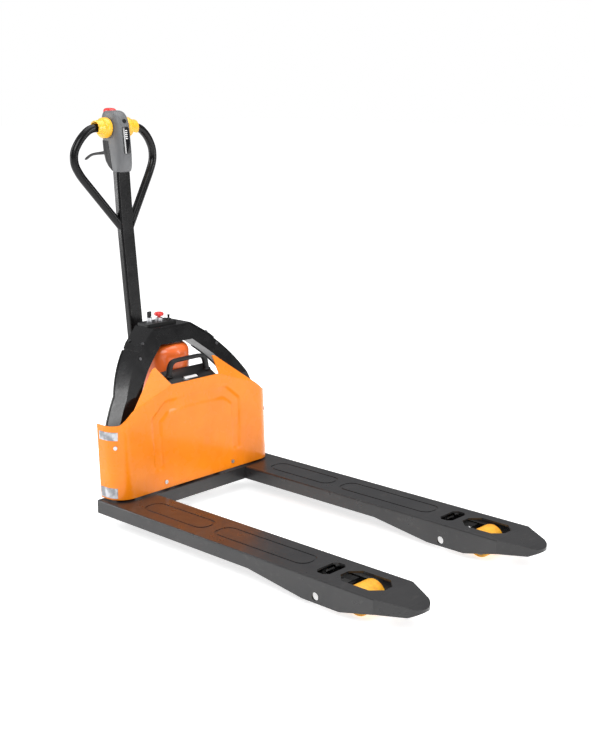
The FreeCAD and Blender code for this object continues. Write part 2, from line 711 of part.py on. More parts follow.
def throttle_wing():
    """Hub round the grip with a broad thumb paddle that reaches out over it."""
    hub = ring_y(32, LOOP_R + GAP, GRIP_X, GRIP_Z, 31, 58)
    paddle = [(GRIP_X - 16, GRIP_Z + 20), (GRIP_X + 16, GRIP_Z + 20), (GRIP_X + 13, GRIP_Z + 31),
              (GRIP_X - 13, GRIP_Z + 31)]
    wing_top = prism("XZ", paddle[0], paddle[1:], 40, 84)
    lower = prism("XZ", (GRIP_X - 10, GRIP_Z - 20), [(GRIP_X + 10, GRIP_Z - 20), (GRIP_X + 8, GRIP_Z - 31),
                                                     (GRIP_X - 8, GRIP_Z - 31)], 40, 74)
    return fuse([hub, wing_top, lower])


def throttle_sleeve():
    return ring_y(17, LOOP_R + GAP, GRIP_X, GRIP_Z, -31, 31)


def release_lever():
    blade = [(-402, 1077), (-402, 1089), (-430, 1086), (-470, 1080), ((-505, 1074), (LEVER_TIP_X, 1056)),
             (LEVER_TIP_X + 2, 1050), ((-505, 1066), (-470, 1070)), (-430, 1073)]
    plate = prism("XZ", blade[0], blade[1:], -6, 6)
    hub = rod_y(8, -408, 1083, -6, 6)
    return fuse([plate, hub]).cut(rod_y(3 + RUN, -408, 1083, -10, 10))


# --- console ------------------------------------------------------------------------------------
CONSOLE_Z = BEAM_TOP + COVER_T
STOP = (-182.0, -6.0)
KEY = (-184.0, -44.0)
TOGGLE = (-176.0, 28.0)


def console_base():
    plate = soften(box(-209, -154, -74, 44, CONSOLE_Z, CONSOLE_Z + 9), 8.0,
                   lambda c, e: abs(c.z - CONSOLE_Z - 4.5) < 0.1)
    for x, y in (STOP, KEY, TOGGLE):
        plate = plate.cut(rod_z(7.2, x, y, CONSOLE_Z - 1, CONSOLE_Z + 10))
    return plate


def stop_collar():
    return ring_z(12, 5.3, STOP[0], STOP[1], CONSOLE_Z + 9, CONSOLE_Z + 20)


def stop_button():
    x, y = STOP
    stem = rod_z(5, x, y, CONSOLE_Z + 4, CONSOLE_Z + 27)
    cap = soften(rod_z(15, x, y, CONSOLE_Z + 25, CONSOLE_Z + 37), 4.0,
                 lambda c, e: c.z > CONSOLE_Z + 36)
    return fuse([stem, cap])


def key_barrel():
    return ring_z(9, 4.3, KEY[0], KEY[1], CONSOLE_Z + 9, CONSOLE_Z + 24)


def key_knob():
    x, y = KEY
    stem = rod_z(4, x, y, CONSOLE_Z + 4, CONSOLE_Z + 28)
    bow = box(x - 2.5, x + 2.5, y - 7, y + 7, CONSOLE_Z + 26, CONSOLE_Z + 43)
    return fuse([stem, soften(bow, 2.0, lambda c, e: c.z > CONSOLE_Z + 42)])


def toggle_collar():
    return ring_z(8, 5.3, TOGGLE[0], TOGGLE[1], CONSOLE_Z + 9, CONSOLE_Z + 13)


def toggle_lever():
    x, y = TOGGLE
    ball = Part.makeSphere(4.8, V(x, y, CONSOLE_Z + 11))
    tip = Part.makeCone(2.5, 4, 14, V(x, y, CONSOLE_Z + 11))
    return fuse([ball, tip])


# --- the assembly -------------------------------------------------------------------------------
def shifted(shape, y):
    moved = shape.copy()
    moved.translate(V(0, y, 0))
    return moved


def save_sides(name, shapes):
    """Saves one node for each fork, moved to that fork's centre line."""
    for side, sign in SIDES.items():
        save(name + "_" + side, *[shifted(shape, sign * FORK_Y) for shape in shapes])


def arm_pins():
    return [rod_y(ARM_PIN_R, ARM_PIVOT_X, ARM_Z, y - 72.5, y + 72.5) for y in (-FORK_Y, FORK_Y)]


def main():
    os.makedirs("parts", exist_ok=True)
    save_sides("fork", [fork()])
    save("base_frame", base_frame())
    save("rocker_bushes", *rocker_bushes())
    save("load_arm_pins", *arm_pins())
    save("arch_frame", arch_frame())
    save("arch_back_strips", *back_strips())
    save("arch_cover", arch_cover())
    save("arch_bolts", *arch_bolts())
    save("body_cover", body_cover())
    save("cover_screws", *cover_screws())
    save("reflector_strips", *reflector_strips())
    save("battery_tray", battery_tray())
    save("controller_box", box(-50, -20, -88, 88, 100, 186))
    save("lift_piston", rod_z(PISTON_R, STEER_X, 0, PUMP_LOW + 8, BEAM_LOW))
    save("battery_case", battery_case())
    save("battery_lid", battery_lid())
    save("battery_handle", battery_handle())
    save("battery_gauge", battery_gauge())
    save("yoke", yoke())
    save("thrust_bearing", ring_z(58, 40 + GAP, STEER_X, 0, 227.5, 238))
    save("pump_body", pump_body())
    save("pump_base", pump_base())
    save("filler_plug", filler_plug())
    save("tilt_pin", tilt_pin())
    save("wheel_bracket", wheel_bracket())
    save("drive_axle", drive_axle())
    save("drive_tyre", drive_tyre())
    save("drive_hub", drive_hub())
    save("rocker", rocker())
    save_sides("push_rod", [push_rod()])
    save_sides("load_arm", [load_arm()])
    save_sides("load_axle", [load_axle()])
    save_sides("load_tyre", [load_tyre()])
    save_sides("load_core", [load_core()])
    save_sides("load_bearings", load_bearings())
    save("tiller_tube", tiller_tube())
    save("tiller_knuckle", tiller_knuckle())
    save("loop_handle", loop_handle())
    save("head_shell", head_shell())
    save("head_rear_cover", head_rear_cover())
    save("display_panel", panel_zone(1080, 1162, 12.5, 2.5, 1.0))
    save("horn_button", horn_place(6.6, -4, 6.5))
    save("belly_button", belly_button())
    save("throttle_wings", throttle_wing(), flip(throttle_wing()))
    save("throttle_sleeve", throttle_sleeve())
    save("release_lever", release_lever())
    save("lever_pin", rod_y(3, -408, 1083, -20, 20))
    save("console_base", console_base())
    save("stop_button", stop_button())
    save("key_barrel", key_barrel())
    save("key_knob", key_knob())
    save("switch_collars", stop_collar(), toggle_collar())
    save("toggle_lever", toggle_lever())


main()
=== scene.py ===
import json
import math

import bmesh
import bpy
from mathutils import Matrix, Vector


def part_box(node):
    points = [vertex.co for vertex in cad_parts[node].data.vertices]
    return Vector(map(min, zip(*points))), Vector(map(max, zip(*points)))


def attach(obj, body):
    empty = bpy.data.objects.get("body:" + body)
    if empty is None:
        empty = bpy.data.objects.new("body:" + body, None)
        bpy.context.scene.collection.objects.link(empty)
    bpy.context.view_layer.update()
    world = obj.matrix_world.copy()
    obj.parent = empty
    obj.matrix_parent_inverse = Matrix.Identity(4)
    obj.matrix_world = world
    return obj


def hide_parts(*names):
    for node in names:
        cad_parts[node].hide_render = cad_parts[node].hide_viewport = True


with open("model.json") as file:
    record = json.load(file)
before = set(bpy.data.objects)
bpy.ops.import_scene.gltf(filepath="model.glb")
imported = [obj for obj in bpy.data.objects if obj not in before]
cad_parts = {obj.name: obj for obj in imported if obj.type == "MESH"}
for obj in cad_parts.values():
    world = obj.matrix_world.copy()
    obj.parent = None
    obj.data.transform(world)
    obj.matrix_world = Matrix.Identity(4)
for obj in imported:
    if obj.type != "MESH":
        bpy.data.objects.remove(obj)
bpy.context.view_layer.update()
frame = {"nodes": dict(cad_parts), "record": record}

# Electric pallet truck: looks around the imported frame. Blender works in metres. The pieces below are
# laid out in millimetres from the load face (x = 0), the centre plane (y = 0) and the floor (z = 0).

MM = 0.001
LOAD_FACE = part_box("fork_right")[0].x
SIDES = (-1, 1)


def at(x, y, z):
    """A point given in millimetres from the load face, as a point of the row frame in metres."""
    return Vector((LOAD_FACE + x * MM, y * MM, z * MM))


def local(value, axis):
    """A coordinate of the row frame, in metres, as millimetres from the load face."""
    return (value - (LOAD_FACE if axis == "x" else 0.0)) / MM


# --- camera, floor and light --------------------------------------------------------------------
CAMERA_AT = at(2689.5, -2472.4, 1297.0)
CAMERA_YAW = math.radians(132.75)
CAMERA_PITCH = math.radians(-13.24)
CAMERA_LENS = 59.4
FLOOR_SIZE = 60.0
FLOOR_GLOW = 0.72


def make_camera():
    data = bpy.data.cameras.new("camera")
    data.lens = CAMERA_LENS
    data.sensor_width = 36.0
    camera = bpy.data.objects.new("camera", data)
    bpy.context.scene.collection.objects.link(camera)
    flat = math.cos(CAMERA_PITCH)
    way = Vector((math.cos(CAMERA_YAW) * flat, math.sin(CAMERA_YAW) * flat, math.sin(CAMERA_PITCH)))
    camera.location = CAMERA_AT
    camera.rotation_euler = way.to_track_quat("-Z", "Y").to_euler()
    bpy.context.scene.camera = camera


def area_light(name, place, aim, size, power):
    data = bpy.data.lights.new(name, "AREA")
    data.shape = "RECTANGLE"
    data.size, data.size_y = size
    data.energy = power
    light = bpy.data.objects.new(name, data)
    bpy.context.scene.collection.objects.link(light)
    light.location = place
    light.rotation_euler = (Vector(aim) - Vector(place)).to_track_quat("-Z", "Y").to_euler()
    light.visible_camera = False


def light_studio(tree):
    """White to the camera; to everything else a dim room that is brighter overhead."""
    nodes, links = tree.nodes, tree.links
    room = nodes["Background"]
    height = nodes.new("ShaderNodeSeparateXYZ")
    links.new(nodes.new("ShaderNodeTexCoord").outputs["Generated"], height.inputs["Vector"])
    ramp = nodes.new("ShaderNodeValToRGB")
    ramp.color_ramp.elements[0].color = (0.10, 0.10, 0.105, 1.0)
    ramp.color_ramp.elements[0].position = 0.05
    ramp.color_ramp.elements[1].color = (0.62, 0.62, 0.63, 1.0)
    ramp.color_ramp.elements[1].position = 0.8
    links.new(height.outputs["Z"], ramp.inputs["Fac"])
    links.new(ramp.outputs["Color"], room.inputs["Color"])
    white = nodes.new("ShaderNodeBackground")
    white.inputs["Color"].default_value = (1.0, 1.0, 1.0, 1.0)
    chosen = nodes.new("ShaderNodeMixShader")
    links.new(nodes.new("ShaderNodeLightPath").outputs["Is Camera Ray"], chosen.inputs["Fac"])
    links.new(room.outputs["Background"], chosen.inputs[1])
    links.new(white.outputs["Background"], chosen.inputs[2])
    links.new(chosen.outputs["Shader"], nodes["World Output"].inputs["Surface"])


def make_stage():
    scene = bpy.context.scene
    scene.view_settings.view_transform = "Standard"
    world = bpy.data.worlds.new("studio")
    world.use_nodes = True
    light_studio(world.node_tree)
    scene.world = world
    bpy.ops.mesh.primitive_plane_add(size=FLOOR_SIZE, location=(0, 0, 0))
    floor = bpy.context.object
    floor.name = "floor"
    graph = Graph("floor_white")
    graph.shader.inputs["Roughness"].default_value = 0.9
    graph.shader.inputs["Specular IOR Level"].default_value = 0.0
    tone = graph.noise(3.0, 3.0)
    graph.blend_colour(tone, (0.74, 0.74, 0.74), (0.76, 0.76, 0.76), "Base Color")
    graph.shader.inputs["Emission Color"].default_value = (1.0, 1.0, 1.0, 1.0)
    graph.shader.inputs["Emission Strength"].default_value = FLOOR_GLOW
    floor.data.materials.append(graph.material)
    area_light("key", (2.2, -3.0, 3.4), (-0.2, 0.0, 0.4), (2.2, 2.2), 95.0)
    area_light("side", (-3.0, -2.2, 1.8), (-0.4, 0.0, 0.6), (0.5, 3.0), 55.0)
    area_light("top", (0.0, 0.6, 4.2), (0.0, 0.0, 0.0), (3.4, 3.4), 90.0)
    area_light("front", (3.4, 2.2, 1.6), (0.0, 0.0, 0.3), (0.6, 2.6), 45.0)


# --- materials ----------------------------------------------------------------------------------
class Graph:
    """A material with a principled shader and short calls for what feeds it."""

    def __init__(self, name):
        self.material = bpy.data.materials.new(name)
        self.material.use_nodes = True
        self.nodes = self.material.node_tree.nodes
        self.links = self.material.node_tree.links
        self.shader = self.nodes["Principled BSDF"]
        self.place = self.nodes.new("ShaderNodeTexCoord").outputs["Object"]
        self.bump = None

    def stretched(self, scale):
        mapping = self.nodes.new("ShaderNodeMapping")
        mapping.inputs["Scale"].default_value = scale
        self.links.new(self.place, mapping.inputs["Vector"])
        return mapping.outputs["Vector"]

    def noise(self, scale, detail=4.0, stretch=None):
        node = self.nodes.new("ShaderNodeTexNoise")
        node.inputs["Scale"].default_value = scale
        node.inputs["Detail"].default_value = detail
        self.links.new(self.stretched(stretch) if stretch else self.place, node.inputs["Vector"])
        return node.outputs["Fac"]

    def cells(self, scale):
        node = self.nodes.new("ShaderNodeTexVoronoi")
        node.inputs["Scale"].default_value = scale
        self.links.new(self.place, node.inputs["Vector"])
        return node.outputs["Distance"]

    def span(self, value, low, high, to_low, to_high):
        node = self.nodes.new("ShaderNodeMapRange")
        node.inputs["From Min"].default_value = low
        node.inputs["From Max"].default_value = high
        node.inputs["To Min"].default_value = to_low
        node.inputs["To Max"].default_value = to_high
        self.links.new(value, node.inputs["Value"])
        return node.outputs["Result"]

    def mix(self, factor, first, second):
        node = self.nodes.new("ShaderNodeMix")
        node.data_type = "RGBA"
        self.links.new(factor, node.inputs["Factor"])
        for socket, colour in ((node.inputs["A"], first), (node.inputs["B"], second)):
            if isinstance(colour, tuple):
                socket.default_value = (*colour, 1.0)
            else:
                self.links.new(colour, socket)
        return node.outputs["Result"]

    def blend_colour(self, factor, first, second, socket):
        self.links.new(self.mix(factor, first, second), self.shader.inputs[socket])

    def raise_by(self, height, distance, strength=1.0):
        node = self.nodes.new("ShaderNodeBump")
        node.inputs["Distance"].default_value = distance
        node.inputs["Strength"].default_value = strength
        self.links.new(height, node.inputs["Height"])
        if self.bump is not None:
            self.links.new(self.bump, node.inputs["Normal"])
        self.bump = node.outputs["Normal"]
        self.links.new(self.bump, self.shader.inputs["Normal"])


def coated(name, dark, light, rough, grain, metal=0.0, coat=0.0, scuff=None, wave=0.0, shine=0.5):
    """Painted or moulded surface: drifting colour, fine grain, roughness patches and light scuffs."""
    graph = Graph(name)
    graph.shader.inputs["Metallic"].default_value = metal
    graph.shader.inputs["Coat Weight"].default_value = coat
    graph.shader.inputs["Specular IOR Level"].default_value = shine
    graph.shader.inputs["Coat Roughness"].default_value = 0.08
    drift = graph.span(graph.noise(9.0, 5.0), 0.35, 0.65, 0.0, 1.0)
    colour = graph.mix(drift, dark, light)
    patches = graph.span(graph.noise(26.0, 6.0), 0.3, 0.7, rough[0], rough[1])
    graph.links.new(patches, graph.shader.inputs["Roughness"])
    if scuff:
        marks = graph.span(graph.noise(55.0, 8.0, (1.0, 0.35, 1.6)), 0.60, 0.72, 0.0, scuff[1])
        colour = graph.mix(marks, colour, scuff[0])
    graph.links.new(colour, graph.shader.inputs["Base Color"])
    if wave:
        graph.raise_by(graph.noise(45.0, 2.0), wave)
    graph.raise_by(graph.noise(grain[0], 3.0), grain[1])
    return graph.material


def metal(name, dark, light, rough, stretch):
    graph = Graph(name)
    graph.shader.inputs["Metallic"].default_value = 1.0
    lines = graph.noise(120.0, 6.0, stretch)
    graph.blend_colour(lines, dark, light, "Base Color")
    graph.links.new(graph.span(lines, 0.3, 0.7, rough[0], rough[1]), graph.shader.inputs["Roughness"])
    graph.raise_by(lines, 0.00004)
    return graph.material


def film(name):
    """Retroreflective film: silver with a fine honeycomb of cells and cloudy patches."""
    graph = Graph(name)
    graph.shader.inputs["Metallic"].default_value = 0.45
    cells = graph.cells(420.0)
    clouds = graph.span(graph.noise(60.0, 5.0), 0.4, 0.62, 0.0, 1.0)
    graph.blend_colour(clouds, (0.26, 0.27, 0.29), (0.62, 0.63, 0.66), "Base Color")
    graph.links.new(graph.span(cells, 0.0, 0.6, 0.25, 0.5), graph.shader.inputs["Roughness"])
    graph.raise_by(cells, 0.00015)
    return graph.material


def urethane(name, dark, light):
    graph = Graph(name)
    graph.shader.inputs["Subsurface Weight"].default_value = 0.12
    graph.shader.inputs["Subsurface Scale"].default_value = 0.004
    graph.shader.inputs["Subsurface Radius"].default_value = (1.0, 0.5, 0.15)
    wear = graph.span(graph.noise(70.0, 6.0), 0.4, 0.7, 0.0, 1.0)
    graph.blend_colour(wear, light, dark, "Base Color")
    graph.links.new(graph.span(wear, 0.0, 1.0, 0.32, 0.55), graph.shader.inputs["Roughness"])
    graph.raise_by(graph.noise(600.0, 3.0), 0.00006)
    return graph.material


def paints():
    return {
        "charcoal_paint": coated("charcoal_powder_coat", (0.014, 0.014, 0.015), (0.021, 0.0205, 0.021),
                                 (0.26, 0.38), (900.0, 0.00005), coat=0.2,
                                 scuff=((0.07, 0.067, 0.063), 0.22), shine=0.4),
        "black_paint": coated("black_powder_coat", (0.003, 0.003, 0.0033), (0.0055, 0.0055, 0.006),
                              (0.20, 0.31), (1000.0, 0.00004), coat=0.12,
                              scuff=((0.022, 0.022, 0.022), 0.16), shine=0.22),
        "orange_paint": coated("orange_gloss_paint", (0.90, 0.225, 0.003), (0.96, 0.258, 0.006),
                               (0.22, 0.32), (500.0, 0.00003), coat=0.3, wave=0.00008, shine=0.25),
        "orange_cast": coated("orange_cast_paint", (0.80, 0.130, 0.014), (0.90, 0.165, 0.020),
                              (0.28, 0.42), (260.0, 0.00010), coat=0.4, wave=0.0002),
    }


def plastics():
    return {
        "black_plastic": coated("black_grained_plastic", (0.004, 0.004, 0.0044), (0.008, 0.008, 0.0085),
                                (0.32, 0.46), (1500.0, 0.00008), shine=0.3),
        "grey_plastic": coated("grey_grained_plastic", (0.120, 0.123, 0.128), (0.150, 0.153, 0.158),
                               (0.40, 0.52), (1600.0, 0.00010)),
        "yellow_plastic": coated("yellow_plastic", (0.95, 0.46, 0.018), (1.0, 0.55, 0.030),
                                 (0.28, 0.40), (1200.0, 0.00004), coat=0.2),
        "red_plastic": coated("red_plastic", (0.70, 0.022, 0.020), (0.82, 0.035, 0.030),
                              (0.26, 0.38), (1200.0, 0.00004), coat=0.2),
    }


def metals():
    return {
        "steel": metal("zinc_plated_steel", (0.52, 0.53, 0.55), (0.72, 0.73, 0.74), (0.22, 0.42),
                       (1.0, 1.0, 12.0)),
        "gunmetal": metal("black_oxide_steel", (0.06, 0.06, 0.065), (0.14, 0.14, 0.145), (0.3, 0.45),
                          (1.0, 1.0, 6.0)),
        "cast_grey": coated("cast_grey_paint", (0.16, 0.16, 0.17), (0.22, 0.22, 0.23),
                            (0.4, 0.6), (220.0, 0.0002), metal=0.3),
    }


def tyres_and_labels():
    return {
        "drive_rubber": coated("black_rubber", (0.018, 0.018, 0.018), (0.032, 0.031, 0.030),
                               (0.62, 0.8), (700.0, 0.00012), scuff=((0.10, 0.095, 0.09), 0.4)),
        "load_urethane": urethane("yellow_urethane", (0.80, 0.33, 0.02), (0.95, 0.47, 0.03)),
        "reflective": film("reflective_film"),
        "display_black": coated("display_black", (0.004, 0.004, 0.005), (0.007, 0.007, 0.009),
                                (0.05, 0.09), (900.0, 0.00001), coat=0.8),
        "gauge_label": coated("gauge_label", (0.70, 0.70, 0.70), (0.82, 0.82, 0.82),
                              (0.3, 0.4), (900.0, 0.00003)),
    }


def make_materials():
    return {**paints(), **plastics(), **metals(), **tyres_and_labels()}


BLACKENED = ("switch_collars", "arch_bolts")


def dress_cad_nodes(materials):
    """CAD nodes take their slot's material, apart from the small steel parts that are blackened."""
    for part in frame["record"]["subparts"]:
        mesh = frame["nodes"][part["node"]].data
        mesh.materials.clear()
        name = "gunmetal" if part["node"] in BLACKENED else part["material_slot"]
        mesh.materials.append(materials[name])


# --- mesh helpers -------------------------------------------------------------------------------
def new_piece(name, bm, body, slot, stands_for=()):
    mesh = bpy.data.meshes.new(name)
    bmesh.ops.recalc_face_normals(bm, faces=bm.faces)
    bm.to_mesh(mesh)
    bm.free()
    for polygon in mesh.polygons:
        polygon.use_smooth = True
    piece = bpy.data.objects.new(name, mesh)
    bpy.context.scene.collection.objects.link(piece)
    mesh.materials.append(MATERIALS[slot])
    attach(piece, body)
    if stands_for:
        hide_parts(*stands_for)
    return piece


def bevelled(piece, width, segments=3, angle=35.0):
    modifier = piece.modifiers.new("bevel", "BEVEL")
    modifier.width = width * MM
    modifier.segments = segments
    modifier.limit_method = "ANGLE"
    modifier.angle_limit = math.radians(angle)
    modifier.harden_normals = False
    return piece


SOFT_SQUARE = 3.2
SOFT_LEVER = 3.0
BAR_SIDES = 20


def side_name(side):
    return "left" if side > 0 else "right"


def rounded_by_subdivision(piece, levels=2):
    modifier = piece.modifiers.new("subdivision", "SUBSURF")
    modifier.levels = levels
    modifier.render_levels = levels
    return piece


def smooth_by_angle(piece, angle=40.0):
    sharp = math.cos(math.radians(angle))
    bm = bmesh.new()
    bm.from_mesh(piece.data)
    for edge in bm.edges:
        faces = edge.link_faces
        edge.smooth = len(faces) == 2 and faces[0].normal.dot(faces[1].normal) > sharp
    bm.to_mesh(piece.data)
    bm.free()
    return piece


def oval(count, power):
    """Points of a unit superellipse: power 2 is a circle, larger is squarer."""
    points = []
    for i in range(count):
        angle = 2 * math.pi * (i + 0.5) / count
        c, s = math.cos(angle), math.sin(angle)
        reach = (abs(c) ** power + abs(s) ** power) ** (-1 / power)
        points.append((c * reach, s * reach))
    return points


def skin_rings(bm, rings, close=False):
    """Faces between neighbouring rings; the ends are capped, or joined to each other when closed."""
    rows = [[bm.verts.new(point) for point in ring] for ring in rings]
    count = len(rows[0])
    pairs = list(zip(rows, rows[1:]))
    if close:
        pairs.append((rows[-1], rows[0]))
    for low, high in pairs:
        for i in range(count):
            j = (i + 1) % count
            bm.faces.new((low[i], low[j], high[j], high[i]))
    if not close:
        bm.faces.new(rows[0][::-1])
        bm.faces.new(rows[-1])
    return rows


def sweep(bm, stations, power, count):
    """A bar through stations: each is a point in mm, its side way, half width and half height."""
    shape = oval(count, power)
    rings = []
    last = len(stations) - 1
    for i, (point, side, wide, high) in enumerate(stations):
        before = stations[max(i - 1, 0)][0]
        after = stations[min(i + 1, last)][0]
        along = (Vector(after) - Vector(before)).normalized()
        across = Vector(side).normalized()
        up = along.cross(across).normalized()
        ring = [at(*(Vector(point) + across * u * wide + up * v * high)) for u, v in shape]
        rings.append(ring)
    skin_rings(bm, rings)


def lathe(centre, axis, profile, count=64):
    """Turns a profile of (radius, distance along the axis) in mm round an axis through centre."""
    axis = Vector(axis).normalized()
    first = axis.orthogonal().normalized()
    second = axis.cross(first)
    rings = []
    for radius, along in profile:
        ring = []
        for i in range(count):
            angle = 2 * math.pi * i / count
            spoke = first * math.cos(angle) + second * math.sin(angle)
            ring.append(at(*(Vector(centre) + axis * along + spoke * radius)))
        rings.append(ring)
    return rings


def turned(name, centre, axis, profile, body, slot, stands_for=(), count=64, hollow=False):
    bm = bmesh.new()
    skin_rings(bm, lathe(centre, axis, profile, count), close=hollow)
    return smooth_by_angle(new_piece(name, bm, body, slot, stands_for), 32.0)


def block(bm, corners_low, corners_high):
    """A prism between two rings of corners given in mm."""
    skin_rings(bm, [[at(*p) for p in corners_low], [at(*p) for p in corners_high]])


# --- casing -------------------------------------------------------------------------------------
CASE_LOW = local(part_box("body_cover")[0].z, "z")
CASE_TOP = 407.0
CASE_BACK = local(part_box("body_cover")[0].x, "x")
CASE_FRONT = local(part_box("body_cover")[1].x, "x")
CASE_HALF = local(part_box("body_cover")[1].y, "y")
CASE_CORNER = 57.0
CASE_LEAN = 13.0
WING_INNER = (-75.0, 119.0, 455.0)
WING_OUTER = (-75.0, 131.0, 452.0)
FOLD_IN = 100.0
FOLD_OUT = 255.0
FOLD_OUT_TOP = 352.0
FOLD_MARGIN = 3
SHOULDER_OUT = 300
SHOULDER_TOP = 317.0
SHOULDER_DROP = 35.0
RIM_DROP = 2.0
SHEET = 3.2


def casing_plan():
    """Foot line of the casing in mm, from the right side's back edge round to the left one."""
    points = [(CASE_BACK + (CASE_FRONT - CASE_CORNER - CASE_BACK) * i / 4, -CASE_HALF) for i in range(4)]
    turns = 14
    for i in range(turns):
        angle = math.pi / 2 * i / turns
        points.append((CASE_FRONT - CASE_CORNER + CASE_CORNER * math.sin(angle),
                       -CASE_HALF + CASE_CORNER - CASE_CORNER * math.cos(angle)))
    straight = CASE_HALF - CASE_CORNER
    count = 108
    front = [(CASE_FRONT, -straight + 2 * straight * i / count) for i in range(count // 2)]
    half = points + front
    return half + [(CASE_FRONT, 0.0)] + [(x, -y) for x, y in reversed(half)]


def casing_top(y):
    y = abs(y)
    if y <= FOLD_IN:
        return CASE_TOP
    if y <= FOLD_OUT:
        return CASE_TOP + (FOLD_OUT_TOP - CASE_TOP) * (y - FOLD_IN) / (FOLD_OUT - FOLD_IN)
    if y <= SHOULDER_OUT:
        ease = (y - FOLD_OUT) / (SHOULDER_OUT - FOLD_OUT)
        return FOLD_OUT_TOP - SHOULDER_DROP * ease
    return SHOULDER_TOP - RIM_DROP * min(1.0, (y - SHOULDER_OUT) / 20)


def distance_to_path(y, z, path):
    best = 1e9
    for (y0, z0), (y1, z1) in zip(path, path[1:]):
        run = Vector((y1 - y0, z1 - z0))
        along = max(0.0, min(1.0, Vector((y - y0, z - z0)).dot(run) / run.length_squared))
        best = min(best, (Vector((y0, z0)) + run * along - Vector((y, z))).length)
    return best


PRESSED_PATH = [(163, 168), (166, 306), (122, 342), (0, 346)]
PRESSED_DEEP = 5.0
PRESSED_LOSS = 3.6
PRESSED_HALF = 21.0
PRESSED_EDGE = 9.0


def smooth_step(value):
    value = max(0.0, min(1.0, value))
    return value * value * (3 - 2 * value)


def pressed_depth(y, z):
    """A broad pressed band round the front panel: deep at the sides and corners, faint on top."""
    gap = distance_to_path(abs(y), z, PRESSED_PATH)
    depth = PRESSED_DEEP - PRESSED_LOSS * smooth_step((130 - abs(y)) / 60)
    return depth * smooth_step((PRESSED_HALF - gap) / PRESSED_EDGE)


def casing_shell():
    rows = 72
    plan = casing_plan()
    bm = bmesh.new()
    grid = []
    for x, y in plan:
        top = casing_top(y)
        column = []
        for j in range(rows + 1):
            z = CASE_LOW + (top - CASE_LOW) * j / rows
            lean = CASE_LEAN * (z - CASE_LOW) / (CASE_TOP - CASE_LOW)
            column.append(bm.verts.new(at(x - lean - pressed_depth(y, z), y, z)))
        grid.append(column)
    for left, right in zip(grid, grid[1:]):
        for j in range(rows):
            bm.faces.new((left[j], right[j], right[j + 1], left[j + 1]))
    for side in SIDES:
        add_wing(bm, [(y, column[-1]) for (x, y), column in zip(plan, grid)
                      if FOLD_IN - FOLD_MARGIN <= y * side <= FOLD_OUT + FOLD_MARGIN], side)
    piece = new_piece("casing_shell", bm, "chassis", "orange_paint", ["body_cover"])
    thick = piece.modifiers.new("sheet", "SOLIDIFY")
    thick.thickness = SHEET * MM
    thick.offset = 1.0 if facing_out(piece) < 0 else -1.0
    bevelled(piece, 1.3, 3, 24.0)


def facing_out(piece):
    """Positive if the sheet's normals point away from the casing's inside."""
    middle = at(-150, 0, 250)
    return sum(p.normal.dot(p.center - middle) * p.area for p in piece.data.polygons)


def add_wing(bm, fold, side):
    """The leaning triangle, grown from the fold's own points up to its blunt peak."""
    fold = sorted(fold, key=lambda item: item[0] * side)
    first, last = fold[0][0] * side, fold[-1][0] * side
    steps = 26
    rows = [[vertex for y, vertex in fold]]
    for j in range(1, steps + 1):
        rise = j / steps
        row = []
        for y, vertex in fold:
            share = (y * side - first) / (last - first)
            peak = Vector(WING_INNER).lerp(Vector(WING_OUTER), share)
            target = at(peak.x, peak.y * side, peak.z)
            row.append(bm.verts.new(vertex.co.lerp(target, rise)))
        rows.append(row)
    for low, high in zip(rows, rows[1:]):
        for i in range(len(low) - 1):
            bm.faces.new((low[i], low[i + 1], high[i + 1], high[i]))


# --- battery ------------------------------------------------------------------------------------
LID_FRONT = (-28.5, 403.0)
LID_BACK = (-86.5, 434.0)
HANDLE_X = -60.0


def lid_height(x):
    """The lid slopes up from the casing's front edge to the arch."""
    share = (LID_FRONT[0] - x) / (LID_FRONT[0] - LID_BACK[0])
    return LID_FRONT[1] + (LID_BACK[1] - LID_FRONT[1]) * share


def lid_block(bm, front, back, right, left, sink, thick):
    """A flat slab lying along the lid's slope; sink gives its depth at the front and the back."""
    low = [(x, y, lid_height(x) - deep) for x, y, deep in
           ((front, right, sink[0]), (front, left, sink[0]), (back, left, sink[1]), (back, right, sink[1]))]
    block(bm, low, [(x, y, z + thick) for x, y, z in low])


def battery_lid_plate():
    bm = bmesh.new()
    lid_block(bm, LID_FRONT[0], LID_BACK[0], -94, 94, (6, 7), 6.4)
    lid_block(bm, -36, -80, -86, 86, (1, 1), 2.6)
    bevelled(new_piece("battery_lid_plate", bm, "battery", "black_plastic", ["battery_lid"]), 1.6, 3)


def battery_carry_handle():
    foot = lid_height(HANDLE_X) - 2
    shoulder = 455.0
    top = 467.5
    right = [(-79, foot), (-77, 428), (-74.5, 445), (-71, shoulder), (-64, 464), (-52, top)]
    right.append((-38, top + 0.5))
    line = right + [(0, top + 0.5)] + [(-y, z) for y, z in reversed(right)]
    stations = []
    for y, z in line:
        high = 6.5 if abs(y) < 60 else 8.0 if abs(y) < 70 else 9.5
        stations.append(((HANDLE_X, y, z), (1, 0, 0), 7.5, high))
    bm = bmesh.new()
    sweep(bm, stations, SOFT_SQUARE, BAR_SIDES)
    handle = new_piece("battery_carry_handle", bm, "battery", "black_plastic", ["battery_handle"])
    rounded_by_subdivision(handle)


def battery_handle_feet():
    foot = lid_height(HANDLE_X) - 2
    for side in SIDES:
        stations = [((HANDLE_X, y * side, foot + rise), (1, 0, 0), wide, high) for y, rise, wide, high in
                    ((79, -1, 13, 14), (78.6, 4, 12, 13), (78, 9, 8, 9.5))]
        bm = bmesh.new()
        sweep(bm, stations, SOFT_SQUARE, BAR_SIDES)
        name = "battery_handle_foot_" + side_name(side)
        rounded_by_subdivision(new_piece(name, bm, "battery", "black_plastic"))


